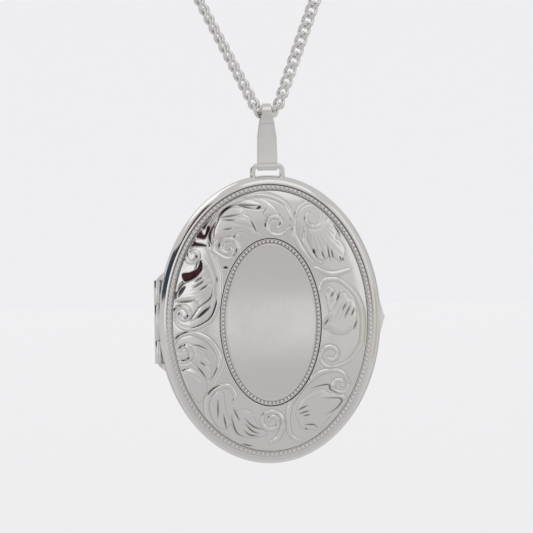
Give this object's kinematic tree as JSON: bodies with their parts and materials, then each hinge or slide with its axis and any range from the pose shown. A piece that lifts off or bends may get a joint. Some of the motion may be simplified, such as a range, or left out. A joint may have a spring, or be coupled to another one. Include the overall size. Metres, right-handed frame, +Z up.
{
  "type": "locket",
  "caption": "Oval hinged picture locket with a scroll-engraved front, beaded borders and a plain oval plate, on a folded bail and a curb chain.",
  "frame": {"origin": "the hanging point, above the middle of the case and level with the chain's two end fittings", "axes": "+Z up, the engraved front faces -Y, the hinge is at -X and the thumb lip at +X"},
  "size_m": [0.0319, 0.008, 0.0733],
  "materials": {
    "cover_silver": "polished sterling silver with an engraved and oxidised front",
    "inner_silver": "brushed sterling silver inside the case",
    "fitting_silver": "polished sterling silver fittings",
    "chain_silver": "polished sterling silver wire",
    "pin_steel": "drawn wire",
    "card": "blank uncoated card",
    "window": "clear acetate sheet"
  },
  "bodies": {
    "chain": {"bail_link": "chain_silver", "chain_left": "chain_silver", "chain_right": "chain_silver", "jump_ring_left": "chain_silver", "jump_ring_right": "chain_silver", "clasp_body": "fitting_silver", "clasp_spring": "pin_steel", "end_tag": "fitting_silver"},
    "trigger": {"clasp_trigger": "fitting_silver"},
    "bail": {"bail": "fitting_silver"},
    "back_half": {"back_cover": "cover_silver", "back_inner_rim": "inner_silver", "back_picture_card": "card", "back_window": "window", "back_picture_frame": "inner_silver", "back_hinge_knuckle_upper": "fitting_silver", "back_hinge_knuckle_lower": "fitting_silver", "back_hinge_bearer": "fitting_silver", "hinge_pin": "pin_steel", "back_thumb_lip": "fitting_silver", "snap_lip": "fitting_silver", "pendant_loop": "fitting_silver"},
    "front_half": {"front_cover": "cover_silver", "front_inner_rim": "inner_silver", "front_picture_card": "card", "front_window": "window", "front_picture_frame": "inner_silver", "front_hinge_knuckle": "fitting_silver", "front_hinge_bearer": "fitting_silver", "front_thumb_lip": "fitting_silver"}
  },
  "joints": [
    {"name": "bail_swing", "type": "hinge", "parent": "chain", "child": "bail", "pos_m": [0, 0, -0.02199], "axis": [1, 0, 0], "range_deg": [-40, 40]},
    {"name": "case_swing", "type": "hinge", "parent": "bail", "child": "back_half", "pos_m": [0, 0, -0.0294], "axis": [1, 0, 0], "range_deg": [-80, 80]},
    {"name": "cover_hinge", "type": "hinge", "parent": "back_half", "child": "front_half", "pos_m": [-0.0154, 0, -0.0507], "axis": [0, 0, -1], "range_deg": [0, 172]},
    {"name": "trigger_turn", "type": "hinge", "parent": "chain", "child": "trigger", "pos_m": [-0.01229, 0, -0.00016], "axis": [0.8565, -0.2756, 0.4364], "range_deg": [0, 50], "stiffness_Nm_per_rad": 0.0004, "springref_deg": -20.05}
  ]
}
